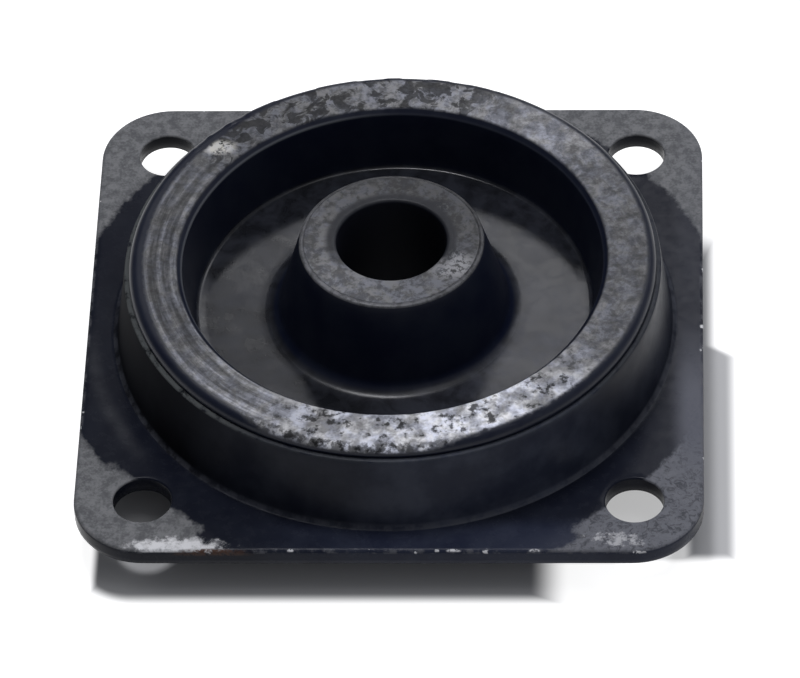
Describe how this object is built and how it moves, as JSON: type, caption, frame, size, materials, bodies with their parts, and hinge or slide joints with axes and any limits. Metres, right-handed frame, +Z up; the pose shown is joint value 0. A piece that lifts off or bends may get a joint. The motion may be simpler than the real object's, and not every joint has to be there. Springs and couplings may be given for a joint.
{
  "type": "engine mount",
  "caption": "Bonded plate-form engine mount: square steel plate with an upturned collar, moulded rubber ring with a recessed floor, and a bored steel sleeve in a rubber hub.",
  "frame": {"origin": "on the axis of the sleeve's bore, in the plane of the plate's underside", "axes": "+Z up along the bore towards the hub's face, +X and +Y along the plate's sides"},
  "size_m": [0.0762, 0.0762, 0.0221],
  "materials": {
    "plate": "semi-gloss black, worn at the edges",
    "rubber": "moulded black, greyed on its faces",
    "sleeve": "dark, scuffed on its end faces"
  },
  "bodies": {
    "root": {"mounting_plate": "plate", "rubber_body": "rubber", "inner_sleeve": "sleeve"}
  },
  "joints": []
}
